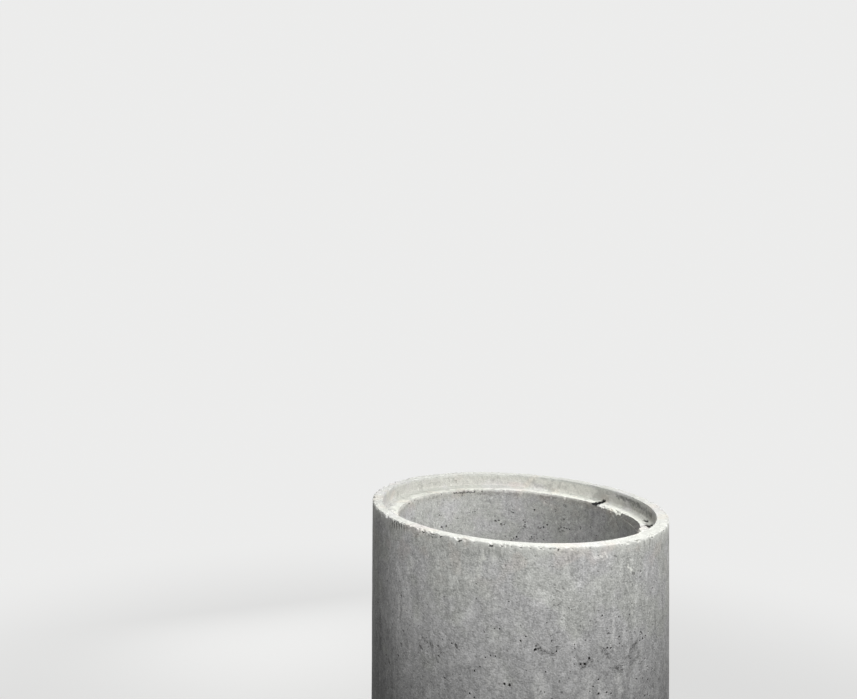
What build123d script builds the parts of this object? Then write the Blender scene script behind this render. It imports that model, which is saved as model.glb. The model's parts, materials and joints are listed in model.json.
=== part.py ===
"""Concrete culvert ring, 500 mm bore, with a lap joint at its ends.

One ring is cast upright in a single pour, so it is one solid: a straight barrel, a rebate
inside the upper rim that forms the socket, and a stepped-back tongue round the lower end.
The tongue of the next ring drops into the socket, and a row of rings makes the pipe.
The ring stands on its tongue. Z is its axis, and the origin is the centre of the tongue's end.
"""
from build123d import *
import os

# Barrel, in millimetres
bore_diameter = 500
wall_thickness = 60
laying_length = 1000  # from the shoulder to the rim: what each ring adds to the pipe

# Socket: the rebate inside the upper rim, and the lip that is left outside it
socket_depth = 32
socket_lip = 24

# Tongue: it clears the lip all round, and keeps the outer joint open for mortar
tongue_clearance = 2
joint_gap = 3

# Edges and corners, rounded by the mould and by handling
rim_outer_arris = 3
rim_inner_arris = 2.5
shelf_corner = 5
shelf_arris = 5
tongue_inner_arris = 4
tongue_outer_arris = 4
shoulder_corner = 3
shoulder_arris = 3


def lap_profile():
    """The wall's half section, as a closed outline of radius and height."""
    bore_radius = bore_diameter / 2
    outer_radius = bore_radius + wall_thickness
    socket_radius = outer_radius - socket_lip
    tongue_radius = socket_radius - tongue_clearance
    tongue_length = socket_depth + joint_gap
    rim = tongue_length + laying_length
    shelf = rim - socket_depth
    corners = [
        ((bore_radius, 0), tongue_inner_arris),
        ((tongue_radius, 0), tongue_outer_arris),
        ((tongue_radius, tongue_length), shoulder_corner),
        ((outer_radius, tongue_length), shoulder_arris),
        ((outer_radius, rim), rim_outer_arris),
        ((socket_radius, rim), rim_inner_arris),
        ((socket_radius, shelf), shelf_corner),
        ((bore_radius, shelf), shelf_arris),
    ]
    points = [point for point, rounding in corners]
    roundings = [rounding for point, rounding in corners]
    return FilletPolyline(*points, radius=roundings, close=True)


section = make_face(Plane.XZ * lap_profile())
culvert_ring = revolve(section, axis=Axis.Z)

os.makedirs("parts", exist_ok=True)
export_step(culvert_ring, "parts/culvert_ring.step")
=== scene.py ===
import json
import math
import random
from types import SimpleNamespace

import bmesh
import bpy
from mathutils import Matrix, Vector, noise


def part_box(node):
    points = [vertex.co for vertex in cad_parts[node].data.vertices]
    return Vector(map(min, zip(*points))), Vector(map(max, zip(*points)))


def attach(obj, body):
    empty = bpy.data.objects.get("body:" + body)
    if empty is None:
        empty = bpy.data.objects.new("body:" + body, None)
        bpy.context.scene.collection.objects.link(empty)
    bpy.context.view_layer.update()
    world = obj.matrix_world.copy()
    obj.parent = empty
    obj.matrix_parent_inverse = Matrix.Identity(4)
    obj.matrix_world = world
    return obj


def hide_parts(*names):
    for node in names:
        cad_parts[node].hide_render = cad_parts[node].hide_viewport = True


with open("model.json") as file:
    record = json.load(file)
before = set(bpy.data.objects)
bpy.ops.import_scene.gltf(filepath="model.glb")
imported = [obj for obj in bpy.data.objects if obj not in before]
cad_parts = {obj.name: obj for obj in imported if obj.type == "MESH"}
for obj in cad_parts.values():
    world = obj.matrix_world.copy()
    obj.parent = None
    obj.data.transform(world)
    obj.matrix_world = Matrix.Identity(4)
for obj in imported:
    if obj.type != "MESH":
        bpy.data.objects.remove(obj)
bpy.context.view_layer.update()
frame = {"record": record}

# The camera stands in front of the ring and to its left, at eye height, and looks level past it.
# The ring is at the right of the picture, and its lower part runs out of the frame.
picture_width = 857
focal_length_px = 800
sensor_width = 36
camera_place = Vector((-0.4557, -1.7584, 1.4839))
looks_up = math.radians(0.493)
leans_left = math.radians(0.293)
view_shift = (0.1412, -0.0696)  # to the right and up, as shares of the picture's width

camera_data = bpy.data.cameras.new("camera")
camera_data.sensor_width = sensor_width
camera_data.lens = sensor_width * focal_length_px / picture_width
camera_data.shift_x, camera_data.shift_y = view_shift
camera = bpy.data.objects.new("camera", camera_data)
level_view = Matrix.Rotation(math.radians(90) + looks_up, 4, "X")
camera.matrix_world = Matrix.Translation(camera_place) @ level_view @ Matrix.Rotation(leans_left, 4, "Z")
bpy.context.scene.collection.objects.link(camera)
bpy.context.scene.camera = camera
bpy.context.scene.view_settings.view_transform = "Standard"

# The culvert ring is one upright concrete casting: a straight barrel, with a rebate inside the rim
# that forms the socket, and a stepped-back tongue round the foot. Its half section is drawn first,
# with its corners rounded, and is turned about the ring's axis.
millimetre = 0.001
mounts = {mount["name"]: mount for mount in frame["record"]["mounts"]}
bore_radius = mounts["bore"]["dims"]["r_mm"] * millimetre
socket_radius = mounts["socket"]["dims"]["r_mm"] * millimetre
tongue_radius = mounts["tongue"]["dims"]["r_mm"] * millimetre
outer_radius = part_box("culvert_ring")[1].x
rim_height = mounts["rim"]["pos_m"][2]
shelf_height = mounts["shelf"]["pos_m"][2]
shoulder_height = mounts["shoulder"]["pos_m"][2]
foot_height = mounts["foot"]["pos_m"][2]

section_corners = [
    (bore_radius, foot_height, 4 * millimetre),
    (tongue_radius, foot_height, 4 * millimetre),
    (tongue_radius, shoulder_height, 3 * millimetre),
    (outer_radius, shoulder_height, 3 * millimetre),
    (outer_radius, rim_height, 3 * millimetre),
    (socket_radius, rim_height, 2.5 * millimetre),
    (socket_radius, shelf_height, 5 * millimetre),
    (bore_radius, shelf_height, 5 * millimetre),
]
joint_band = 38 * millimetre  # below the shelf and above the shoulder, the mesh stays fine
wall_row = 14 * millimetre
joint_row = 3.2 * millimetre
foot_row = 5.5 * millimetre
steps_around = 216
hair = 1e-5


def section_line(bm):
    """The half section as a closed line in the XZ plane, with rows close together at the joints."""
    corners = [bm.verts.new((radius, 0, height)) for radius, height, rounding in section_corners]
    for corner, following in zip(corners, corners[1:] + corners[:1]):
        bm.edges.new((corner, following))
    for corner, (radius, height, rounding) in zip(corners, section_corners):
        bmesh.ops.bevel(bm, geom=[corner], offset=rounding, offset_type="OFFSET", segments=3,
                        profile=0.5, affect="VERTICES", material=-1)
    joint_top = shelf_height - joint_band
    joint_bottom = shoulder_height + joint_band
    for height in (joint_bottom, joint_top):
        bmesh.ops.bisect_plane(bm, geom=bm.verts[:] + bm.edges[:], plane_co=(0, 0, height),
                               plane_no=(0, 0, 1))
    for edge in bm.edges[:]:
        middle = (edge.verts[0].co.z + edge.verts[1].co.z) / 2
        row = wall_row if middle < joint_top else joint_row
        if middle < joint_bottom:
            row = foot_row
        cuts = round(edge.calc_length() / row) - 1
        if cuts > 0:
            bmesh.ops.subdivide_edges(bm, edges=[edge], cuts=cuts)


def edges_around(bm, wanted):
    """The edges that run round the ring, where wanted(radius, height) is true."""
    found = []
    for edge in bm.edges:
        one, other = (vert.co for vert in edge.verts)
        radius = one.xy.length
        if abs(one.z - other.z) < hair and abs(radius - other.xy.length) < 10 * hair:
            if wanted(radius, one.z):
                found.append(edge)
    return found


ring_mesh = bmesh.new()
section_line(ring_mesh)
bmesh.ops.spin(ring_mesh, geom=ring_mesh.verts[:] + ring_mesh.edges[:], cent=(0, 0, 0), axis=(0, 0, 1),
               dvec=(0, 0, 0), angle=math.tau, steps=steps_around, use_merge=True)
bmesh.ops.remove_doubles(ring_mesh, verts=ring_mesh.verts[:], dist=hair)
bmesh.ops.recalc_face_normals(ring_mesh, faces=ring_mesh.faces[:])

arris_band = 9 * millimetre


def at_the_socket(radius, height):
    """True from a little below the shelf up to the rim."""
    return height > shelf_height - joint_band + hair


def on_an_arris(radius, height):
    """True on the rim and on the shelf's inner arris, which break up most."""
    on_rim = height > rim_height - arris_band
    on_shelf_arris = radius < bore_radius + arris_band and height > shelf_height - arris_band
    return on_rim or on_shelf_arris


for finer in (at_the_socket, on_an_arris):
    bmesh.ops.subdivide_edges(ring_mesh, edges=edges_around(ring_mesh, finer), cuts=1, use_grid_fill=True)

# Wear of the casting: its surfaces wave a little where the mould gave, its arrises are ragged from
# stripping and handling, and pieces have spalled off the rim and off the inner edge of the shelf.
# Angles are in degrees round the ring from +X, and widths and depths are in millimetres.

# Chips, each given by the angle of its middle, its width and its depth
rim_chips = [
    (-154.5, 8, 2.5), (-148.5, 7, 3), (-144, 6, 3), (-138, 9, 4.5), (-134, 16, 4), (-130.5, 8, 4.5),
    (-123, 8, 5), (-118, 10, 3), (-112, 9, 6), (-108.4, 6, 4.4), (-105.4, 5, 3.8), (-102.3, 8, 4.6),
    (-99.2, 6, 4.2), (-95.6, 6, 4.6), (-92.8, 5, 4), (-90, 6, 4.4), (-85, 5, 3.8), (-79, 7, 3.4),
    (-66, 9, 3.2), (178, 8, 5.5), (-177, 6, 4.5), (-49, 12, 4), (-38, 12, 4), (12, 10, 4), (38, 14, 3),
    (84, 9, 2.5), (113, 8, 3), (133, 12, 4), (150, 8, 3), (171, 15, 5), (-173, 10, 4),
]
shelf_chips = [
    (148, 13, 7), (142, 8, 5), (119, 12, 4.5), (110, 15, 6), (106, 9, 5), (102.5, 9, 6), (99, 14, 7),
    (94, 9, 5), (71, 7, 5), (58, 8, 4), (47, 9, 5), (12, 16, 5), (-4, 125, 9.5), (-22, 14, 7),
    (-32, 12, 5), (-60, 18, 5), (-104, 12, 4), (-131, 20, 6), (165, 10, 5), (-168, 9, 4),
]
tongue_chips = [(-76, 22, 9), (-12, 14, 6), (31, 30, 10), (88, 12, 6), (140, 26, 8), (-150, 16, 7)]
# Between two angles the shelf's edge is crumbled: first comes a long clean break, then, from lip_from
# on, a pale lip of mortar that hangs over the bore
crumbled_from = -20
lip_from = 9
crumbled_to = 30
clean_break_shade = 0.55
pitted_from = 90  # from this angle on, the chips of the shelf's edge get blotches of painted shade
shelf_edge_reach = 20 * millimetre  # how far down and back the edge's wear goes
rim_edge_reach = 34 * millimetre
fine_shelf = [(-18, 36), (93, 111)]  # angles between which the shelf and its edge need a finer mesh
# Upright scores under the rim, where the mould was pulled off: the middle and reach of each patch
scored_patches = [(-151.5, 5.5)]
score_pitch = 1.5  # degrees
score_deepest = 3.0
# A slit where a splinter has lifted off the shelf: it runs from the inner edge outwards, and narrows
slit_start = (259, 29.2)  # radius and angle
slit_end = (290, 29.4)
slit_width = 18
slit_depth = 5
slit_mouth = 0.3  # how far it runs on out through the edge, as a share of its length
slit_fringe = 1.35  # how far its painted shade reaches to each side, as a share of its half width
slit_darkness = 1.5
# Hollows and mortar lumps on the shelf: radius, angle, length round, width across, height
shelf_spots = [
    (280, -4.6, 21, 12, -9.0), (275, -12, 24, 13, -9.0), (284, -11, 12, 8, -7.0), (262, 8, 14, 8, -2.0),
    (281, -8.4, 9, 8, 3.5), (268, -15, 18, 9, 3.0), (262, 24, 44, 12, 2.2), (281, 62, 40, 7, 1.5),
    (266, 141, 20, 9, -2.5), (280, 158, 24, 8, 2.0), (259, -115, 14, 9, -3.0), (281, -78, 30, 7, 2.0),
]
black_hollow_depth = 3.75  # millimetres; a hollow this deep gets fully black painted shade


def angle_of(place):
    """The angle of a place round the ring, in degrees from +X."""
    return math.degrees(math.atan2(place.y, place.x))


def chip_depth(angle, radius, chips):
    """How deep the deepest chip here cuts across an arris, in millimetres."""
    depth = 0.0
    for centre, width, deepest in chips:
        apart = math.radians((angle - centre + 180) % 360 - 180) * radius / millimetre
        share = abs(apart) / (width / 2)
        if share < 1:
            depth = max(depth, deepest * math.sqrt(1 - share * share))
    return depth


def swell(place, size, height):
    """A gentle rise and fall of up to about a height, over a size, both in millimetres."""
    return height * noise.noise(place / (size * millimetre))


def lumps(place, size, above=0.0):
    """Noise with lumps of a size in millimetres, cut off below a level."""
    return max(0.0, noise.noise(place / (size * millimetre)) - above)


def cut_arris(co, corner_radius, corner_height, outward, upward, depth):
    """Brings a place back to a slanting cut across an arris. Returns how far it came, in metres."""
    radius = co.xy.length
    beyond = outward * (radius - corner_radius) + upward * (co.z - corner_height) + depth * millimetre
    if beyond <= 0:
        return 0.0
    co.xy *= (radius - outward * beyond / 2) / radius
    co.z -= upward * beyond / 2
    return beyond


def on_ring(radius, angle, height=0.0):
    """A place in metres, from a radius in millimetres and an angle in degrees."""
    turned = math.radians(angle)
    return Vector((radius * math.cos(turned) * millimetre, radius * math.sin(turned) * millimetre, height))


def sink_slit(co):
    """Lowers a place of the shelf into the slit. Returns its painted shade, from 0 to slit_darkness."""
    start, end = on_ring(*slit_start).xy, on_ring(*slit_end).xy
    line = end - start
    along = (co.xy - start).dot(line) / line.length_squared
    if not -slit_mouth < along < 1.05 or co.z < shelf_height - shelf_edge_reach:
        return 0.0
    across = abs((co.xy - start - along * line).dot(line.orthogonal().normalized()))
    # It narrows and gets shallower along its length
    run = max(0.0, along)
    half_width = slit_width / 2 * millimetre * (1.05 - 0.75 * run)
    share = across / half_width
    if share >= slit_fringe:
        return 0.0
    sunk = slit_depth * millimetre * (1 - min(1.0, share) ** 4) * (1.1 - 0.6 * run)
    floor_height = shelf_height - sunk
    if co.z < floor_height - millimetre:
        return 0.0
    co.z = min(co.z, floor_height - 0.04 * (shelf_height - co.z + 6 * millimetre))
    past_mouth = min(1.0, (along + slit_mouth) / 0.12)
    return slit_darkness * past_mouth * min(1.0, 4 * (slit_fringe - share))


def shape_spots(co):
    """Raises or lowers a place by the shelf's lumps and hollows. Returns how black its painted shade is
    there.
    """
    deepest = 0.0
    for radius, angle, length, width, height in shelf_spots:
        middle = on_ring(radius, angle)
        outwards = middle.xy.normalized()
        away = co.xy - middle.xy
        share = math.hypot(away.dot(outwards) / (width / 2), away.dot(outwards.orthogonal()) / (length / 2))
        share = share / millimetre + swell(co, 6, 0.35)
        if share < 1:
            co.z += height * millimetre * (1 - share * share)
            deepest = min(deepest, height * (1 - share * share))
    return min(1.0, -deepest / black_hollow_depth)


def score_depth(angle, height):
    """How deep the upright scores under the rim are here, in millimetres."""
    deepest = 0.0
    for middle, reach in scored_patches:
        share = abs(angle - middle) / reach
        if share < 1 and height < rim_height - 3 * millimetre:
            number = math.floor(angle / score_pitch)
            across = abs(angle / score_pitch - number - 0.5) * 2
            long = 20 + 9 * noise.noise(Vector((number * 1.7, middle, 0)))
            below = (rim_height - height) / millimetre / long
            if below < 1:
                profile = (1 - share) ** 0.3 * max(0.0, 0.55 - across) * (1 - below ** 3)
                deepest = max(deepest, score_deepest * profile)
    return deepest


def darken(vert, layer, darkness):
    """Gives a place the painted shade of a hollow, unless it has more already."""
    vert[layer.hollow] = max(vert[layer.hollow], darkness)


def break_rim(vert, layer, place, angle, rough):
    """Breaks the rim's outer arris and scores the wall below it. Returns how far the place came."""
    depth = 1.6 + 9.0 * lumps(place, 15, 0.06) + 11.0 * lumps(place, 6.5, 0.08)
    chipped = chip_depth(angle, place.xy.length, rim_chips)
    depth = max(depth, 1.8 + 1.3 * chipped + rough)
    came = cut_arris(vert.co, outer_radius, rim_height, 1, 1, depth)
    # Deep chips where they cut the wall, and the scores below, get painted shade
    if came > millimetre and place.z < rim_height - 2 * millimetre:
        vert[layer.hollow] = max(0.0, min(1.0, (chipped - 2.2) / 1.2))
    scored = score_depth(angle, place.z)
    vert.co -= vert.normal * scored * millimetre
    darken(vert, layer, 0.75 * min(1.0, scored))
    # Between the scores the wall has kept a skin of laitance
    if scored == 0 and score_depth(angle + score_pitch / 2, place.z) > 0.3:
        vert[layer.trowelled] = 1.3
    return came


def break_shelf_edge(vert, layer, place, angle, rough):
    """Breaks the shelf's inner arris. Returns how far the place came."""
    depth = 3.6 + 4.5 * lumps(place, 22, 0.1) + 3.5 * lumps(place, 8, 0.02)
    if crumbled_from < angle < crumbled_to:
        depth += 12.0 * lumps(place, 5, 0.02)
    lip = 4 + 16 * lumps(place, 7) + 8 * lumps(place, 20)
    if lip_from < angle < crumbled_to and place.z > shelf_height - lip * millimetre:
        vert[layer.trowelled] = 1.0
    chipped = chip_depth(angle, place.xy.length, shelf_chips)
    depth = max(depth, 2.5 + chipped + 1.5 * rough)
    came = cut_arris(vert.co, bore_radius, shelf_height, -1, 1, depth)
    # The clean break gets painted shade, and so do the deeper chips past pitted_from
    if crumbled_from < angle < lip_from and came > 0.4 * millimetre:
        vert[layer.trowelled] = 0.0
        vert[layer.hollow] = clean_break_shade
    if came > 1.2 * millimetre and place.z < shelf_height - 2.5 * millimetre and angle > pitted_from:
        uneven = 0.45 + swell(place, 4.5, 1.2)
        vert[layer.hollow] = max(0.0, min(0.8, 0.22 * uneven * chipped))
    return came


def wear_ring(bm):
    """Waves, rough faces and broken arrises, all inside the sound casting's outline."""
    # The finish reads from these where a place is broken, how much painted shade a hollow gets, and what is
    # trowelled
    new_layer = bm.verts.layers.float.new
    layer = SimpleNamespace(broken=new_layer("broken"), hollow=new_layer("hollow"),
                            trowelled=new_layer("trowelled"))
    bm.normal_update()
    for vert in bm.verts:
        place = Vector(vert.co)
        radius, height = place.xy.length, place.z
        angle = angle_of(place)
        in_socket = height > shelf_height - hair and radius < socket_radius + hair
        on_rim = height > rim_height - hair
        on_shelf = in_socket and not on_rim and vert.normal.z > 0.5
        vert[layer.trowelled] = 1.0 if in_socket or on_rim else 0.0

        # Every surface goes back by a slow wave and a fine roughness, in millimetres
        wave = 0.3 + swell(place, 160, 0.5) + swell(place, 45, 0.25)
        rough = swell(place, 11, 0.12)
        if on_rim:
            wave = 1.0
            rough = swell(place, 18, 0.9) + swell(place, 6.5, 1.0)
        elif on_shelf:
            wave = 0.8
            rough = swell(place, 20, 1.3) + swell(place, 7, 1.0)
        elif in_socket:
            wave = 0.5
            rough = swell(place, 25, 0.8) + swell(place, 8, 0.5)
        elif height < shoulder_height + hair:
            rough = swell(place, 14, 0.5) + swell(place, 6, 0.3)
        vert.co -= vert.normal * max(0.0, wave + rough) * millimetre

        # The arrises break back further, most of all at the chips
        came = 0.0
        if height > rim_height - rim_edge_reach and radius > socket_radius + 8 * millimetre:
            came = break_rim(vert, layer, place, angle, rough)
        elif on_rim:
            depth = 2.0 + 3.0 * lumps(place, 12, 0.1) + 3.0 * lumps(place, 5)
            came = cut_arris(vert.co, socket_radius, rim_height, -1, 1, depth)
        elif radius < bore_radius + shelf_edge_reach and height > shelf_height - shelf_edge_reach:
            came = break_shelf_edge(vert, layer, place, angle, rough)
        elif height < shoulder_height and radius > tongue_radius - 16 * millimetre:
            depth = 3.0 + 4.0 * lumps(place, 20, 0.1)
            depth = max(depth, 2.5 + chip_depth(angle, radius, tongue_chips) + rough)
            came = cut_arris(vert.co, tongue_radius, foot_height, 1, -1, depth)
        elif height < shoulder_height:
            depth = 3.0 + 4.0 * lumps(place, 16, 0.1)
            came = cut_arris(vert.co, bore_radius, foot_height, -1, -1, depth)

        # Broken stone shows grey, except at the crumbled edge, which is as pale as the mortar
        vert[layer.broken] = min(1.0, max(0.0, came / millimetre - 1.5) / 2.2)
        if crumbled_from < angle < crumbled_to and radius < socket_radius - hair:
            vert[layer.broken] *= 0.25
        near_shelf = shelf_height - shelf_edge_reach < height < shelf_height + 6 * millimetre
        if near_shelf and radius < socket_radius + hair:
            if on_shelf:
                darken(vert, layer, shape_spots(vert.co))
            darken(vert, layer, sink_slit(vert.co))


def refine_wall(bm, angle, reach):
    """Divides the outer wall's faces under the rim twice more, round an angle."""
    for _ in range(2):
        edges = set()
        for face in bm.faces:
            middle = face.calc_center_median()
            on_wall = middle.xy.length > outer_radius - 2 * millimetre
            if on_wall and middle.z > rim_height - rim_edge_reach:
                if abs(angle_of(middle) - angle) < reach:
                    edges.update(face.edges)
        bmesh.ops.subdivide_edges(bm, edges=list(edges), cuts=1, use_grid_fill=True)


def refine_shelf(bm, first_angle, last_angle):
    """Divides the faces of the shelf and of its inner edge once more between two angles."""
    edges = set()
    for face in bm.faces:
        middle = face.calc_center_median()
        near_shelf = abs(middle.z - shelf_height + 5 * millimetre) < 12 * millimetre
        if near_shelf and middle.xy.length < socket_radius and first_angle < angle_of(middle) < last_angle:
            edges.update(face.edges)
    bmesh.ops.subdivide_edges(bm, edges=list(edges), cuts=1, use_grid_fill=True)


for first_fine, last_fine in fine_shelf:
    refine_shelf(ring_mesh, first_fine, last_fine)
for scored_angle, scored_reach in scored_patches:
    refine_wall(ring_mesh, scored_angle, scored_reach)
wear_ring(ring_mesh)

# Blow holes: air caught against the mould leaves round holes, a few millimetres wide, in both walls.
# Where the casting settled they lie in trails. Each is given as angle and height from and to, and
# how many holes the trail has, and how wide they are.
hole_trails = [
    (-97, 850, -97, 850, 1, 10), (-94.5, 846, -93, 845, 2, 5), (-92.5, 875, -92, 867, 2, 5),
    (-100, 869, -102, 888, 3, 4), (-108, 886, -111, 878, 3, 4), (-110, 829, -114, 826, 3, 5),
    (-116, 803, -118, 794, 2, 5), (-106.5, 783, -108, 781, 2, 6.5), (-121, 752, -118, 744, 4, 6),
    (-82, 824, -79.5, 830, 3, 6.5), (-80, 866, -78.5, 864, 2, 4.5), (-81, 857, -84, 852, 2, 4.5),
    (-72, 848, -70.5, 841, 3, 6), (-67, 862, -66, 845, 3, 5), (-61, 838, -52, 856, 6, 5),
    (-66, 824, -62, 820, 3, 5), (-66, 809, -66, 809, 1, 7), (-58, 803, -53, 810, 4, 5),
    (-53, 792, -48, 777, 4, 5.5), (-59, 776, -52, 768, 3, 6), (-75, 769, -71, 762, 3, 6),
    (-79, 771, -76, 790, 3, 5), (-75, 908, -74, 900, 3, 4.5), (-68, 899, -63, 898, 3, 5),
    (-85, 835, -85, 823, 3, 4.5), (-130, 838, -125, 834, 4, 5), (-51, 735, -55, 741, 3, 6),
    (-94, 897, -94, 897, 1, 4), (-113, 833, -112, 836, 2, 4), (-96, 774, -95, 770, 2, 4),
]
bore_trails = [
    (76, 947, 76, 947, 1, 5), (86, 926, 84, 926, 2, 5), (83, 918, 81, 915, 3, 5),
    (70, 931, 69, 912, 5, 5), (65, 958, 65, 958, 1, 6), (62, 917, 57, 926, 3, 6),
    (53, 964, 53, 964, 1, 5), (48, 949, 47, 941, 3, 5), (50, 923, 45, 925, 4, 5.5),
    (38, 938, 38, 938, 1, 5), (66, 893, 63, 895, 3, 6), (77, 882, 74, 887, 3, 6),
    (94, 974, 94, 974, 1, 4), (101, 946, 98, 948, 3, 4.5), (119, 919, 117, 917, 2, 7),
    (121, 949, 119, 946, 4, 4.5), (109, 933, 109, 927, 2, 5),
]
scattered_holes = 700
hole_seed = 7
# How far a hole's edge may lie from the middle of the wall face that it is made from
room_across = 3.5 * millimetre
room_up = 6.2 * millimetre
hole_lip = 0.5 * millimetre
hole_flank = 0.35 * millimetre


def hole_places(trails, radius):
    """Where the holes of the trails are, as places on a wall, each with its width in millimetres."""
    places = []
    for angle, height, last_angle, last_height, count, width in trails:
        for number in range(count):
            share = number / max(1, count - 1)
            turned = angle + share * (last_angle - angle) + random.uniform(-0.4, 0.4)
            up = height + share * (last_height - height) + random.uniform(-1.5, 1.5)
            place = on_ring(radius / millimetre, turned, up * millimetre)
            places.append((place, width * random.uniform(0.65, 1.1)))
    return places


def scatter_holes(count):
    """Places all over both walls, more of them where a slow noise is high and lower down."""
    places = []
    low = shoulder_height + 20 * millimetre
    high = shelf_height - 45 * millimetre
    while len(places) < count:
        radius = random.choice((outer_radius, outer_radius, bore_radius))
        place = on_ring(radius / millimetre, random.uniform(-180, 180), random.uniform(low, high))
        crowding = 0.25 + 2.2 * noise.noise(place / 0.07) + 0.3 * (high - place.z) / (high - low)
        if random.random() < crowding:
            places.append((place, random.uniform(2.2, 4.0) + 3.5 * random.random() ** 4))
    return places


def wall_face_key(place):
    """Which of the walls' big faces a place is on."""
    outside = place.xy.length > (bore_radius + outer_radius) / 2
    turned = math.atan2(place.y, place.x) % math.tau
    return outside, int(turned / math.tau * steps_around), int(place.z / wall_row)


def round_off(face, place, width):
    """Moves an eight-sided face's corners into a round hole's edge, as near a place as it can be."""
    normal = face.normal.copy()
    sideways = normal.cross(Vector((0, 0, 1))).normalized()
    upwards = sideways.cross(normal).normalized()
    middle = face.calc_center_median()
    reach = width / 2 * millimetre
    aim = place - middle
    spare_across = max(0.0, room_across - reach)
    spare_up = max(0.0, room_up - reach)
    hole_middle = middle + sideways * max(-spare_across, min(spare_across, aim.dot(sideways)))
    hole_middle += upwards * max(-spare_up, min(spare_up, aim.dot(upwards)))
    lean = random.uniform(0, math.pi)
    narrow = random.uniform(0.55, 1.0)
    for vert in face.verts:
        from_middle = vert.co - middle
        turned = math.atan2(from_middle.dot(upwards), from_middle.dot(sideways))
        out = min(reach, room_across) * random.uniform(0.8, 1.12)
        out *= math.hypot(math.cos(turned - lean), narrow * math.sin(turned - lean))
        tall = reach / min(reach, room_across)
        vert.co = hole_middle + (sideways * math.cos(turned) + upwards * math.sin(turned) * tall) * out


def pit_walls(bm):
    """Presses all the blow holes into the two walls, one to a face, and gives their insides painted shade.
    """
    random.seed(hole_seed)
    hollow = bm.verts.layers.float["hollow"]
    wall_faces = {}
    for face in bm.faces:
        middle = face.calc_center_median()
        if len(face.verts) == 4 and shoulder_height + joint_band < middle.z < shelf_height - joint_band:
            wall_faces[wall_face_key(middle)] = face
    chosen = []
    wanted = hole_places(hole_trails, outer_radius) + hole_places(bore_trails, bore_radius)
    for place, width in wanted + scatter_holes(scattered_holes):
        face = wall_faces.pop(wall_face_key(place), None)
        if face is not None:
            chosen.append((face, place, width))
    faces = [face for face, place, width in chosen]
    bmesh.ops.inset_individual(bm, faces=faces, thickness=hole_lip)
    for face, place, width in chosen:
        for edge in face.edges[:]:
            bmesh.utils.edge_split(edge, edge.verts[0], 0.5)
        round_off(face, place, width)
    bmesh.ops.inset_individual(bm, faces=faces, thickness=hole_flank)
    bm.normal_update()
    for face, place, width in chosen:
        middle = face.calc_center_median()
        sunk = face.normal * random.uniform(0.3, 0.5) * width * millimetre
        for vert in face.verts:
            vert.co += (middle - vert.co) * 0.2 - sunk
            vert[hollow] = 1.0


sharp_angle = math.radians(38)
pit_walls(ring_mesh)
ring_data = bpy.data.meshes.new("concrete_ring")
for ring_face in ring_mesh.faces:
    ring_face.smooth = True
ring_mesh.to_mesh(ring_data)
ring_mesh.free()
ring_data.set_sharp_from_angle(angle=sharp_angle)
ring = bpy.data.objects.new("concrete_ring", ring_data)
bpy.context.scene.collection.objects.link(ring)

# Concrete as it comes from the mould: mid grey, clouded where the paste is thicker, drawn out in
# upright streaks where the mould slid off, and gritty with sand. The rim, the shelf and the rebate
# were trowelled, and are pale with laitance.
def put(tree, kind, settings=None, inputs=None):
    """Adds a node, with its options, and with values or other nodes' outputs on its inputs."""
    made = tree.nodes.new(kind)
    for name, value in (settings or {}).items():
        setattr(made, name, value)
    for name, value in (inputs or {}).items():
        if isinstance(value, bpy.types.NodeSocket):
            tree.links.new(value, made.inputs[name])
        else:
            made.inputs[name].default_value = value
    return made


def sums(tree, operation, *values):
    """The output of a Math node on these values."""
    return put(tree, "ShaderNodeMath", {"operation": operation}, dict(enumerate(values))).outputs[0]


def rise(tree, value, low, high, to_low=0.0, to_high=1.0):
    """A smooth step of a value, from to_low at low to to_high at high."""
    inputs = {"Value": value, "From Min": low, "From Max": high, "To Min": to_low, "To Max": to_high}
    return put(tree, "ShaderNodeMapRange", {"interpolation_type": "SMOOTHSTEP"}, inputs).outputs["Result"]


def paint(tree, amount, under, over, way="MIX"):
    """One colour over another, by an amount from 0 to 1."""
    settings = {"data_type": "RGBA", "blend_type": way}
    return put(tree, "ShaderNodeMix", settings, {0: amount, 6: under, 7: over}).outputs[2]


def new_group(name, inputs, outputs):
    """An empty node group. Inputs are (name, kind, value), and outputs are (name, kind)."""
    group = bpy.data.node_groups.new(name, "ShaderNodeTree")
    for label, kind, value in inputs:
        socket = group.interface.new_socket(label, in_out="INPUT", socket_type=kind)
        if value is not None:
            socket.default_value = value
    for label, kind in outputs:
        group.interface.new_socket(label, in_out="OUTPUT", socket_type=kind)
    return group, group.nodes.new("NodeGroupInput").outputs, group.nodes.new("NodeGroupOutput")


def mottle_group():
    """Uneven tone from -1 to 1, in blots of a size in metres, drawn out upwards by a stretch."""
    group, given, result = new_group(
        "mottle",
        [("Place", "NodeSocketVector", None), ("Size", "NodeSocketFloat", 0.05),
         ("Stretch", "NodeSocketFloat", 1.0), ("Detail", "NodeSocketFloat", 2.0)],
        [("Tone", "NodeSocketFloat")])
    per_metre = sums(group, "DIVIDE", 1.0, given["Size"])
    per_metre_up = sums(group, "DIVIDE", per_metre, given["Stretch"])
    scale = put(group, "ShaderNodeCombineXYZ", None, {"X": per_metre, "Y": per_metre, "Z": per_metre_up})
    scaled = put(group, "ShaderNodeVectorMath", {"operation": "MULTIPLY"},
                 {0: given["Place"], 1: scale.outputs[0]})
    cloud = put(group, "ShaderNodeTexNoise", None,
                {"Vector": scaled.outputs[0], "Scale": 1.0, "Detail": given["Detail"], "Roughness": 0.55})
    tone = sums(group, "MULTIPLY_ADD", cloud.outputs["Fac"], 4.0, -2.0)
    group.links.new(tone, result.inputs["Tone"])
    return group


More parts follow.
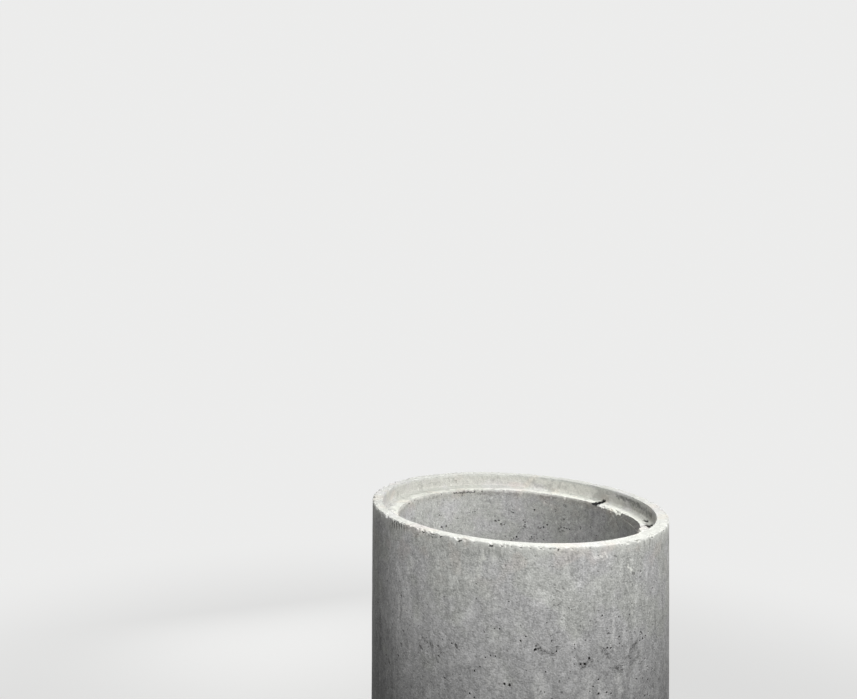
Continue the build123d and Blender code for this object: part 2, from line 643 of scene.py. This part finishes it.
def specks_group():
    """Ragged specks up to a width in metres, about one to a spacing, in a share of the places."""
    group, given, result = new_group(
        "specks",
        [("Place", "NodeSocketVector", None), ("Spacing", "NodeSocketFloat", 0.01),
         ("Width", "NodeSocketFloat", 0.003), ("Share", "NodeSocketFloat", 0.5),
         ("Stretch", "NodeSocketFloat", 1.0)],
        [("Mask", "NodeSocketFloat")])
    per_metre = sums(group, "DIVIDE", 1.0, given["Spacing"])
    twist = put(group, "ShaderNodeTexNoise", None,
                {"Vector": given["Place"], "Scale": sums(group, "MULTIPLY", per_metre, 2.6), "Detail": 1.0})
    reach = sums(group, "MULTIPLY", given["Width"], 1.1)
    bent = put(group, "ShaderNodeVectorMath", {"operation": "MULTIPLY_ADD"},
               {0: twist.outputs["Color"], 1: reach, 2: given["Place"]})
    flat = put(group, "ShaderNodeCombineXYZ", None,
               {"X": 1.0, "Y": 1.0, "Z": sums(group, "DIVIDE", 1.0, given["Stretch"])})
    place = put(group, "ShaderNodeVectorMath", {"operation": "MULTIPLY"},
                {0: bent.outputs[0], 1: flat.outputs[0]})
    cells = put(group, "ShaderNodeTexVoronoi", {"feature": "F1"},
                {"Vector": place.outputs[0], "Scale": per_metre})
    away = sums(group, "MULTIPLY", cells.outputs["Distance"], given["Spacing"])
    chance = put(group, "ShaderNodeSeparateColor", None, {"Color": cells.outputs["Color"]})
    width_share = sums(group, "MULTIPLY_ADD", chance.outputs[1], 0.35, 0.15)
    half_width = sums(group, "MULTIPLY", given["Width"], width_share)
    inside = rise(group, sums(group, "DIVIDE", away, half_width), 1.25, 0.6)
    chosen = sums(group, "LESS_THAN", chance.outputs[0], given["Share"])
    group.links.new(sums(group, "MULTIPLY", inside, chosen), result.inputs["Mask"])
    return group


def ring_place_group():
    """A place's distance from the ring's axis, its height above the foot, and how far across it is."""
    group, given, result = new_group(
        "ring_place", [("Place", "NodeSocketVector", None)],
        [("Radius", "NodeSocketFloat"), ("Height", "NodeSocketFloat"), ("Across", "NodeSocketFloat")])
    parts = put(group, "ShaderNodeSeparateXYZ", None, {"Vector": given["Place"]}).outputs
    x_squared = sums(group, "MULTIPLY", parts[0], parts[0])
    y_squared = sums(group, "MULTIPLY", parts[1], parts[1])
    radius = sums(group, "SQRT", sums(group, "ADD", x_squared, y_squared))
    group.links.new(radius, result.inputs["Radius"])
    group.links.new(parts[2], result.inputs["Height"])
    group.links.new(parts[0], result.inputs["Across"])
    return group


def streak_group():
    """A soft-edged stroke of a width in metres, from a start for the length of a run."""
    group, given, result = new_group(
        "streak",
        [("Place", "NodeSocketVector", None), ("Start", "NodeSocketVector", None),
         ("Run", "NodeSocketVector", None), ("Width", "NodeSocketFloat", 0.005)],
        [("Mask", "NodeSocketFloat")])

    def vectors(operation, *values):
        return put(group, "ShaderNodeVectorMath", {"operation": operation}, dict(enumerate(values)))

    away = vectors("SUBTRACT", given["Place"], given["Start"]).outputs[0]
    gone = vectors("DOT_PRODUCT", away, given["Run"]).outputs["Value"]
    whole_run = vectors("DOT_PRODUCT", given["Run"], given["Run"]).outputs["Value"]
    share = put(group, "ShaderNodeClamp", None, {"Value": sums(group, "DIVIDE", gone, whole_run)}).outputs[0]
    beside = put(group, "ShaderNodeCombineXYZ", None, {"X": share, "Y": share, "Z": share}).outputs[0]
    nearest = vectors("MULTIPLY", given["Run"], beside).outputs[0]
    apart = vectors("DISTANCE", away, nearest).outputs["Value"]
    mask = rise(group, sums(group, "DIVIDE", apart, given["Width"]), 0.62, 0.22)
    group.links.new(mask, result.inputs["Mask"])
    return group


mottle = mottle_group()
specks = specks_group()
streak = streak_group()
ring_place = ring_place_group()


def use_group(tree, group, **inputs):
    """Places a node group, with inputs named in lower case."""
    made = put(tree, "ShaderNodeGroup", {"node_tree": group})
    for name, value in inputs.items():
        socket = made.inputs[name.capitalize()]
        if isinstance(value, bpy.types.NodeSocket):
            tree.links.new(value, socket)
        else:
            socket.default_value = value
    return made.outputs


# Colours that several parts of the finish share. hole_dark is the painted shade inside holes and
# pits, and also colours the darkest marks
hole_dark = (0.04, 0.04, 0.038, 1)
damp_grey = (0.20, 0.20, 0.195, 1)
lime_white = (0.74, 0.74, 0.72, 1)
laitance = (0.615, 0.615, 0.60, 1)


def times(tree, one, other):
    """One value times another."""
    return sums(tree, "MULTIPLY", one, other)


def plus(tree, base, part, share):
    """A value, with a share of another added."""
    return sums(tree, "MULTIPLY_ADD", part, share, base)


def tinted(tree, colour, tint):
    """A colour multiplied by a tone near 1, or by another colour."""
    return paint(tree, 1.0, colour, tint, "MULTIPLY")


def tone(tree, place, size, stretch=1.0, detail=2.0):
    """Uneven tone from -1 to 1, in blots of a size in metres."""
    return use_group(tree, mottle, place=place, size=size, stretch=stretch, detail=detail)["Tone"]


def speckle(tree, place, spacing, width, share, stretch=1.0):
    """Specks of up to a width in metres, as a mask."""
    made = use_group(tree, specks, place=place, spacing=spacing, width=width, share=share, stretch=stretch)
    return made["Mask"]


def under_rim(tree, height, low, high, to_low=0.0, to_high=1.0):
    """A smooth step of a height, between two distances below the rim in millimetres."""
    low_height, high_height = rim_height - low * millimetre, rim_height - high * millimetre
    return rise(tree, height, low_height, high_height, to_low, to_high)


def layered(tree, parts):
    """A tone near 1, of tones that are each given a share."""
    total = 1.0
    for part, share in parts:
        total = plus(tree, total, part, share)
    return total


def ring_surface(tree):
    """What all parts of the finish share: where a point is on the ring, and uneven tones there."""
    at = SimpleNamespace(place=put(tree, "ShaderNodeTexCoord").outputs["Object"])
    at.radius, at.height, at.across = use_group(tree, ring_place, place=at.place)
    at.cloud = tone(tree, at.place, 0.16, 1.4)
    at.blots = tone(tree, at.place, 0.045, 1.6, 3.0)
    at.drawn = tone(tree, at.place, 0.011, 3.2, 3.0)
    at.fine_drawn = tone(tree, at.place, 0.0048, 4.0)
    at.dabs = tone(tree, at.place, 0.012, 1.3)
    at.grit = tone(tree, at.place, 0.006, 1.0, 3.0)
    at.sand = tone(tree, at.place, 0.0030)
    at.pale_tone = layered(tree, [(at.blots, 0.05), (at.dabs, 0.05), (at.fine_drawn, 0.03), (at.grit, 0.09),
                                  (at.sand, 0.07)])
    at.uneven = rise(tree, plus(tree, at.grit, at.dabs, 0.6), -0.7, 0.5, 0.35, 1.25)
    at.damp_side = rise(tree, at.across, -0.26, 0.28, 1.11, 0.87)  # painted light and shade, paler at -X

    # Each mask is 1 on its own surface, and the trowelled top has a ragged edge
    at.broken = put(tree, "ShaderNodeAttribute", {"attribute_name": "broken"}).outputs["Fac"]
    at.hollow = put(tree, "ShaderNodeAttribute", {"attribute_name": "hollow"}).outputs["Fac"]
    trowelled = put(tree, "ShaderNodeAttribute", {"attribute_name": "trowelled"}).outputs["Fac"]
    at_outer_arris = rise(tree, at.radius, outer_radius - 6 * millimetre, outer_radius - millimetre)
    whole = plus(tree, plus(tree, trowelled, at.grit, 0.40), at.broken, -0.72)
    at.is_pale = rise(tree, plus(tree, whole, at_outer_arris, -0.16), 0.30, 0.60)
    at.on_rim = under_rim(tree, at.height, 8, 4)
    at.on_shelf = rise(tree, at.height, shelf_height + 5 * millimetre, shelf_height + 1.5 * millimetre)
    at.in_bore = rise(tree, at.radius, bore_radius + 14 * millimetre, bore_radius + 9 * millimetre)

    # The marks are drawn in a place that is shifted to and fro, so that their edges are torn
    swirl = put(tree, "ShaderNodeTexNoise", None,
                {"Vector": at.place, "Scale": 75.0, "Detail": 4.0, "Roughness": 0.65})
    centred = put(tree, "ShaderNodeVectorMath", {"operation": "SUBTRACT"},
                  {0: swirl.outputs["Color"], 1: (0.5, 0.5, 0.5)})
    at.torn_place = put(tree, "ShaderNodeVectorMath", {"operation": "MULTIPLY_ADD"},
                        {0: centred.outputs[0], 1: (26 * millimetre,) * 3, 2: at.place}).outputs[0]
    return at


def mark_masks(tree, at, marks, wall_radius):
    """The paler and the darker marks of a wall, as two masks."""
    limed, darkened = 0.0, 0.0
    for angle, up, last_angle, last_up, width, strength in marks:
        start = on_ring(wall_radius / millimetre, angle, up * millimetre)
        run = on_ring(wall_radius / millimetre, last_angle, last_up * millimetre) - start
        made = use_group(tree, streak, place=at.torn_place, start=start, run=run, width=width * millimetre)
        if strength > 0:
            limed = sums(tree, "MAXIMUM", limed, times(tree, made["Mask"], strength))
        else:
            darkened = sums(tree, "MAXIMUM", darkened, times(tree, made["Mask"], -strength))
    return limed, darkened


# Smears of lime, damp patches and scrapes on the outer wall that stand out: angle and height from
# and to, width in millimetres, and how much paler they are, or darker where it is below nought.
# The dark marks round the trails of blow holes are painted shade in their pits, and the last two,
# just under the rim, are a painted shadow line beneath its edge.
wall_marks = [
    (-114.5, 1012, -116.6, 972, 9, 0.55), (-111.4, 1010, -113.2, 980, 8, 0.55),
    (-104.5, 1006, -105, 994, 7, 0.4), (-76.6, 1017, -74.8, 1013, 8, 1.6), (-73, 1018, -72.2, 1012, 7, 1.5),
    (-63, 991, -62.2, 982, 8, 1.5), (-60.5, 985, -60.3, 975, 6, 0.5), (-150.8, 886, -150.6, 850, 7, 0.5),
    (-147.6, 878, -147.7, 846, 5, 0.45), (-112.3, 812, -112.0, 785, 26, 0.32),
    (-108, 800, -109, 770, 22, 0.28), (-96, 800, -96.5, 760, 24, 0.28), (-79, 800, -81, 758, 26, 0.24),
    (-75, 782, -73.5, 745, 20, 0.24), (-68, 790, -67, 760, 16, 0.35), (-84, 890, -84.5, 850, 9, 0.3),
    (-69.5, 905, -70.5, 850, 9, 0.35), (-61, 930, -61, 905, 7, 0.45), (-165.7, 828, -165.4, 752, 11, -0.6),
    (-149.2, 868, -149.2, 846, 6, -0.5), (-137, 822, -134, 819, 9, -0.8), (-57.2, 853, -60.5, 838, 7, -0.7),
    (-60.5, 838, -63.6, 823, 9, -0.8), (-74.5, 848, -71.5, 830, 9, -0.75), (-82, 819, -78.5, 826, 10, -0.8),
    (-69, 806, -66.5, 803, 10, -0.8), (-62, 808, -58, 819, 9, -0.75), (-96.8, 855, -95.7, 846, 13, -0.85),
    (-94.0, 847, -91.5, 844, 8, -0.75), (-131, 820, -129.5, 814, 9, -0.7), (54, 940, 54, 900, 7, 0.3),
    # The last two marks are a painted shadow line under the rim's edge
    (148, 900, 147, 870, 7, 0.3), (-146, 1029.5, -139.5, 1029, 5, -0.75), (-138, 1029, -131, 1029, 6, -0.8),
]
mould_grey = (0.46, 0.46, 0.458, 1)


def outer_wall(tree, at):
    """The outer wall: streaked mid grey, with smears of lime and damp patches, and with painted shade."""
    smears = rise(tree, tone(tree, at.place, 0.019, 2.0, 3.0), 0.22, 0.55)
    runs = rise(tree, tone(tree, at.place, 0.024, 7.0), 0.45, 0.85)
    wall_tone = layered(tree, [(at.cloud, 0.04), (at.blots, 0.07), (at.drawn, 0.09), (at.fine_drawn, 0.09),
                               (at.dabs, 0.14), (at.grit, 0.18), (at.sand, 0.22), (smears, 0.22),
                               (runs, -0.15)])

    # It dries pale under the rim and is darker further down, partly where it stays damp, most of all
    # near the foot, and partly as painted shade. Painted shade also darkens a strip at the -X edge and
    # the lower flanks at both sides, and painted light and shade make the -X side paler than the +X side
    drying_and_painted_shade = under_rim(tree, at.height, 420, 30, 0.68, 1.05)
    foot_damp = rise(tree, plus(tree, at.height, at.blots, 0.05), 0.03, 0.30, 0.80, 1.0)
    shaded_strip = rise(tree, at.across, -0.312, -0.262, 0.57, 1.0)
    low_down = under_rim(tree, at.height, 120, 420)
    flanks = rise(tree, sums(tree, "ABSOLUTE", sums(tree, "ADD", at.across, 0.02)), 0.10, 0.29)
    painted_low_flank_shade = plus(tree, 1.0, times(tree, flanks, low_down), -0.27)
    for share in (at.damp_side, shaded_strip, drying_and_painted_shade, foot_damp, painted_low_flank_shade):
        wall_tone = times(tree, wall_tone, share)
    wall = tinted(tree, mould_grey, wall_tone)

    # Laitance has run over the edge of the rim in a thin uneven veil, with dark drag ticks in it
    veil_edge = plus(tree, plus(tree, at.height, at.blots, 0.010), at.drawn, 0.006)
    veil = under_rim(tree, veil_edge, 34, 4)
    wall = paint(tree, times(tree, veil, 0.42), wall, laitance)
    drips_edge = plus(tree, plus(tree, at.height, at.drawn, 0.006), at.dabs, 0.008)
    drips = times(tree, under_rim(tree, drips_edge, 17, 3), rise(tree, at.across, -0.2, -0.1))
    wall = paint(tree, times(tree, drips, 0.6), wall, laitance)
    tick_band = times(tree, under_rim(tree, at.height, 34, 22), under_rim(tree, at.height, 4, 8))
    ticks = times(tree, rise(tree, tone(tree, at.place, 0.0042, 6.0, 0.0), 0.10, 0.40),
                  rise(tree, tone(tree, at.place, 0.07, 1.0, 1.0), 0.15, 0.4))
    wall = paint(tree, times(tree, times(tree, ticks, tick_band), 0.4), wall, damp_grey)

    limed, darkened = mark_masks(tree, at, wall_marks, outer_radius)
    wall = paint(tree, times(tree, limed, at.uneven), wall, lime_white)
    torn = rise(tree, plus(tree, at.sand, at.grit, 0.9), -0.25, 0.30)
    torn = sums(tree, "MAXIMUM", torn, rise(tree, darkened, 0.6, 0.4))
    return paint(tree, times(tree, darkened, torn), wall, hole_dark)


# Pitting of the bore, close under the shelf and lower down, given in the same way. Its dark is painted
# shadow under the shelf's spalled edge, and painted shade in the pits lower down
bore_marks = [
    (109, 997, 107, 998, 8, -0.8), (106, 996, 103.5, 997, 10, -0.75), (102.5, 997, 101, 996, 8, -0.75),
    (96, 995, 84, 995, 9, -0.22), (79, 995, 74, 994, 9, -0.22), (127, 995, 121, 996, 8, -0.25),
    (60, 994, 52, 995, 8, -0.25), (87.3, 926, 84.8, 926, 4.5, -0.75), (83.3, 918, 81, 914, 5, -0.75),
    (76.7, 947, 75.6, 947, 4.5, -0.7), (70.6, 931, 68.9, 930, 5, -0.65), (70, 917, 67.8, 914, 5.5, -0.7),
    (66.7, 899, 63.4, 898, 4, -0.55), (66.7, 886, 62.8, 889, 4.5, -0.6), (62.8, 918, 61.2, 917, 6, -0.7),
    (57.8, 926, 57, 926, 6, -0.65), (65.1, 958, 64.5, 958, 6, -0.5), (53, 964, 52.5, 964, 6, -0.5),
    (50.5, 923, 47.6, 921, 5, -0.65), (38.2, 938, 37.3, 938, 7, -0.6), (32, 945, 31, 945, 7, -0.6),
    (80.5, 890, 76.6, 885, 4, -0.6), (76, 884, 72.8, 883, 4, -0.55), (118.5, 918, 117, 917, 5.5, -0.65),
]
bore_grey = (0.465, 0.465, 0.462, 1)
rust_brown = (0.34, 0.31, 0.26, 1)


def bore_wall(tree, at):
    """The bore: a plainer grey, stained brown close under the shelf, pitted, and with painted light and
    shade.
    """
    bore_tone = layered(tree, [(at.cloud, 0.06), (at.blots, 0.11), (at.dabs, 0.15), (at.drawn, 0.05),
                               (at.grit, 0.20), (at.sand, 0.15)])
    bore = tinted(tree, bore_grey, bore_tone)
    # Painted shade: the bore is darker further down and towards +X, and its -X side is painted paler
    painted_shade_below = rise(tree, at.height, 0.55, shelf_height - 0.02, 0.80, 1.0)
    painted_shade_beside = rise(tree, at.across, 0.10, 0.25, 1.0, 0.84)
    bore = tinted(tree, bore, times(tree, painted_shade_beside, times(tree, painted_shade_below, at.damp_side)))
    stain_edge = plus(tree, at.height, at.dabs, 0.006)
    stain = rise(tree, stain_edge, shelf_height - 22 * millimetre, shelf_height - 7 * millimetre)
    bore = paint(tree, times(tree, stain, 0.26), bore, rust_brown)
    pitted = mark_masks(tree, at, bore_marks, bore_radius)[1]
    return paint(tree, pitted, bore, hole_dark)


# Dirt on the rebate's wall, most of it close under the rim, given in the same way
rebate_marks = [
    (22, 1025, 14, 1024, 12, -0.9), (13, 1023, 5, 1021, 14, -1.1), (3, 1020, -8, 1018, 13, -0.9),
    (17, 1015, 10, 1013, 9, -0.5), (4, 1012, -3, 1010, 9, -0.5), (31, 1027, 27, 1027, 7, -0.5),
    (64, 1013, 60, 1011, 9, -0.35), (121, 1018, 116, 1016, 8, -0.3), (-100, 1022, -112, 1020, 12, -0.5),
]
shelf_pale = (0.60, 0.60, 0.575, 1)
rebate_pale = (0.575, 0.567, 0.548, 1)


def pale_top(tree, at):
    """The trowelled rim, rebate and shelf: pale laitance, dirt rubbed into it in places, and painted shade.
    """
    pale = paint(tree, at.on_shelf, rebate_pale, shelf_pale)
    # Painted light and shade: the shelf is paler at its inner edge and darker towards the rebate's corner
    outer_share = rise(tree, at.across, 0.02, 0.16, 0.72, 0.92)
    painted_shelf_shading = rise(tree, at.radius, socket_radius - 4 * millimetre, bore_radius + 14 * millimetre,
                      outer_share, 1.08)
    pale = paint(tree, at.on_shelf, pale, tinted(tree, pale, painted_shelf_shading))
    # The rebate and shelf are paler towards +X and the shelf at its -X end; painted shade darkens the
    # rebate's wall at its +X end
    pale = tinted(tree, pale, rise(tree, at.across, -0.2, 0.20, 0.99, 1.12))
    painted_shade_end = times(tree, rise(tree, at.across, 0.235, 0.287), sums(tree, "SUBTRACT", 1.0, at.on_shelf))
    pale = tinted(tree, pale, plus(tree, 1.0, painted_shade_end, -0.26))
    paler_shelf_end = times(tree, rise(tree, at.across, -0.12, -0.26), at.on_shelf)
    pale = tinted(tree, pale, plus(tree, 1.0, paler_shelf_end, 0.09))
    dirt = mark_masks(tree, at, rebate_marks, socket_radius)[1]
    pale = paint(tree, times(tree, dirt, at.uneven), pale, damp_grey)
    # Painted shade: the rim's laitance is darker towards +X
    rim = tinted(tree, laitance, rise(tree, at.across, 0.0, 0.28, 1.02, 0.90))
    pale = tinted(tree, paint(tree, at.on_rim, pale, rim), at.pale_tone)
    grubby = times(tree, rise(tree, plus(tree, at.blots, at.dabs, 0.7), 0.05, 0.7), 0.38)
    return paint(tree, times(tree, grubby, plus(tree, 1.0, at.on_rim, -0.6)), pale, damp_grey)


olive = (0.99, 1.0, 0.96, 1)
neutral = (1.0, 0.998, 0.998, 1)
pinkish = (1.03, 0.985, 0.965, 1)


def drifting_hue(tree, at, colour):
    """A colour that drifts slowly between olive, neutral and pinkish greys."""
    drift = rise(tree, plus(tree, tone(tree, at.place, 0.075), at.height, -4.0), -4.1, -3.4)
    colour = tinted(tree, colour, paint(tree, drift, olive, neutral))
    patches = rise(tree, tone(tree, at.place, 0.05, 1.0, 1.0), 0.25, 0.6)
    blush = times(tree, patches, under_rim(tree, at.height, 120, 20))
    return paint(tree, times(tree, blush, 0.8), colour, tinted(tree, colour, pinkish))


def specked(tree, at, colour):
    """Pale lime specks and runs, and painted shade in pinholes and pits. Returns the colour and the relief.
    """
    on_walls = plus(tree, 1.0, at.is_pale, -0.75)
    crowded = rise(tree, plus(tree, at.blots, at.cloud, 0.6), -0.35, 0.45, 0.25, 1.0)
    fewer_high_up = under_rim(tree, at.height, 50, 220, 0.65, 1.0)
    crowded = times(tree, crowded, fewer_high_up)
    high_up = under_rim(tree, at.height, 220, 50)
    lime = speckle(tree, at.place, 0.012, 0.0060, 0.42, 1.6)
    lime_runs = speckle(tree, at.place, 0.016, 0.0055, 0.30, 4.0)
    lime_runs = times(tree, lime_runs, rise(tree, at.cloud, -0.3, 0.5))
    lime = times(tree, sums(tree, "MAXIMUM", lime, lime_runs), plus(tree, 0.6, high_up, 0.6))
    grains = times(tree, speckle(tree, at.place, 0.011, 0.0042, 0.35, 1.3), plus(tree, 0.35, high_up, 0.35))
    pinholes = times(tree, speckle(tree, at.place, 0.0085, 0.0046, 0.55), crowded)
    pits = times(tree, speckle(tree, at.place, 0.019, 0.0085, 0.36), crowded)
    # Painted shade in the pinholes and pits
    dark = sums(tree, "MAXIMUM", times(tree, pinholes, 0.42), times(tree, pits, 0.66))
    colour = paint(tree, times(tree, times(tree, lime, on_walls), 0.36), colour, lime_white)
    colour = paint(tree, times(tree, grains, on_walls), colour, lime_white)
    colour = paint(tree, times(tree, dark, on_walls), colour, hole_dark)

    relief = times(tree, at.grit, 0.22 * millimetre)
    for part, depth in ((at.sand, 0.12), (at.drawn, 0.16), (at.dabs, 0.2), (pinholes, -0.8), (pits, -1.4),
                        (lime, 0.25)):
        relief = plus(tree, relief, part, depth * millimetre)
    return colour, relief


broken_grey = (0.43, 0.42, 0.395, 1)
# slit_black is the painted shade deep in the slit
slit_black = (0.014, 0.014, 0.014, 1)


def cast_concrete():
    """The finish of the whole casting, told apart by where on the ring it is."""
    material = bpy.data.materials.new("cast_concrete")
    material.use_nodes = True
    tree = material.node_tree
    tree.nodes.clear()
    at = ring_surface(tree)
    colour = paint(tree, at.in_bore, outer_wall(tree, at), bore_wall(tree, at))
    colour = paint(tree, at.is_pale, colour, pale_top(tree, at))
    colour = drifting_hue(tree, at, colour)
    colour, relief = specked(tree, at, colour)

    # Broken stone, and painted shade in the blow holes, chips, scores, hollows and the slit
    grimy = rise(tree, plus(tree, at.broken, at.dabs, 0.5), 0.15, 0.9)
    grimy = times(tree, grimy, under_rim(tree, at.height, 12, 20, 0.25, 1.0))
    colour = paint(tree, times(tree, grimy, 0.65), colour, tinted(tree, broken_grey, at.pale_tone))
    colour = paint(tree, rise(tree, at.hollow, 0.0, 0.85, 0.0, 0.96), colour, hole_dark)
    colour = paint(tree, rise(tree, at.hollow, 1.05, 1.4), colour, slit_black)

    bump = put(tree, "ShaderNodeBump", None, {"Strength": 1.0, "Distance": 1.0, "Height": relief})
    roughness = plus(tree, plus(tree, 0.92, at.in_bore, -0.07), at.grit, 0.03)
    shader = put(tree, "ShaderNodeBsdfPrincipled", None,
                 {"Base Color": colour, "Roughness": roughness, "Normal": bump.outputs[0],
                  "Specular IOR Level": 0.25})
    output = put(tree, "ShaderNodeOutputMaterial")
    tree.links.new(shader.outputs[0], output.inputs["Surface"])
    return material


ring_data.materials.append(cast_concrete())
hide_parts("culvert_ring")
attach(ring, "root")

# The floor is a plain pale sheet that fades into the pale background, and keeps the ring's shadow.
floor_radius = 9.0
floor_clear_radius = 4.5
background_pale = (0.84, 0.84, 0.835, 1)
floor_pale = (0.80, 0.80, 0.79, 1)
floor_in_bounce = (0.22, 0.22, 0.215, 1)
shadow_reach = 0.3  # nearer than this the floor shows mostly how it is lit, with the ring's shadow
lamp_reach = 3.2  # past this it shows only its own paleness, because the lamps don't reach it
least_paleness = 0.25
floor_gap = 0.2 * millimetre

floor_mesh = bmesh.new()
bmesh.ops.create_circle(floor_mesh, cap_ends=True, segments=96, radius=floor_radius)
floor_data = bpy.data.meshes.new("floor")
floor_mesh.to_mesh(floor_data)
floor_mesh.free()
floor = bpy.data.objects.new("floor", floor_data)
floor.location.z = foot_height - floor_gap
bpy.context.scene.collection.objects.link(floor)


def seen_directly(tree):
    """1 for what the camera sees itself, in a reflection or through glass, and 0 for bounced light."""
    path = put(tree, "ShaderNodeLightPath").outputs
    mirrored = sums(tree, "MAXIMUM", path["Is Glossy Ray"], path["Is Transmission Ray"])
    return sums(tree, "MAXIMUM", path["Is Camera Ray"], mirrored)


def floor_sheet():
    """Pale where it is seen, and darker to bounced light, so that it doesn't light the ring's foot."""
    material = bpy.data.materials.new("floor_sheet")
    material.use_nodes = True
    tree = material.node_tree
    tree.nodes.clear()
    seen = seen_directly(tree)
    sheet_colour = paint(tree, seen, floor_in_bounce, floor_pale)
    matt = put(tree, "ShaderNodeBsdfDiffuse", None, {"Color": sheet_colour})
    place = put(tree, "ShaderNodeTexCoord").outputs["Object"]
    away = put(tree, "ShaderNodeVectorMath", {"operation": "LENGTH"}, {0: place}).outputs["Value"]
    paleness = rise(tree, away, shadow_reach, lamp_reach, least_paleness, 1.0)
    shown = put(tree, "ShaderNodeEmission", None, {"Color": background_pale, "Strength": 1.0})
    lit = put(tree, "ShaderNodeMixShader", None,
              {0: times(tree, paleness, seen), 1: matt.outputs[0], 2: shown.outputs[0]})
    clear = put(tree, "ShaderNodeBsdfTransparent")
    fade = rise(tree, away, floor_clear_radius, floor_radius)
    mixed = put(tree, "ShaderNodeMixShader", None, {0: fade, 1: lit.outputs[0], 2: clear.outputs[0]})
    output = put(tree, "ShaderNodeOutputMaterial")
    tree.links.new(mixed.outputs[0], output.inputs["Surface"])
    return material


floor_data.materials.append(floor_sheet())

# Studio light: one large soft lamp high in front, one high at the right with a smaller one above it,
# a low one behind, and a weak even fill.
fill_strength = 0.23
ring_top = (0, 0, 0.95)
ring_middle = (0, 0, 0.5)


def soft_lamp(name, place, aim, size, watts):
    """A square area lamp that points at aim and isn't seen itself."""
    data = bpy.data.lights.new(name, "AREA")
    data.size = size
    data.energy = watts
    lamp = bpy.data.objects.new(name, data)
    lamp.location = place
    lamp.rotation_euler = (Vector(aim) - Vector(place)).to_track_quat("-Z", "Y").to_euler()
    lamp.visible_camera = False
    bpy.context.scene.collection.objects.link(lamp)


soft_lamp("left_lamp", (-0.22, -1.42, 2.42), ring_top, 1.3, 31.5)
soft_lamp("right_lamp", (1.12, -0.80, 2.42), ring_top, 1.3, 22)
soft_lamp("top_lamp", (0.95, 0.0, 2.75), ring_top, 1.0, 14)
soft_lamp("back_lamp", (-0.6, 1.9, 0.95), ring_middle, 1.4, 12)

world = bpy.data.worlds.new("studio")
bpy.context.scene.world = world
world.use_nodes = True
sky = world.node_tree
sky.nodes.clear()
fill = put(sky, "ShaderNodeBackground", None, {"Color": (1.0, 1.0, 1.0, 1), "Strength": fill_strength})
shown = put(sky, "ShaderNodeBackground", None, {"Color": background_pale, "Strength": 1.0})
sky_mix = put(sky, "ShaderNodeMixShader", None,
              {0: seen_directly(sky), 1: fill.outputs[0], 2: shown.outputs[0]})
sky_output = put(sky, "ShaderNodeOutputWorld")
sky.links.new(sky_mix.outputs[0], sky_output.inputs["Surface"])
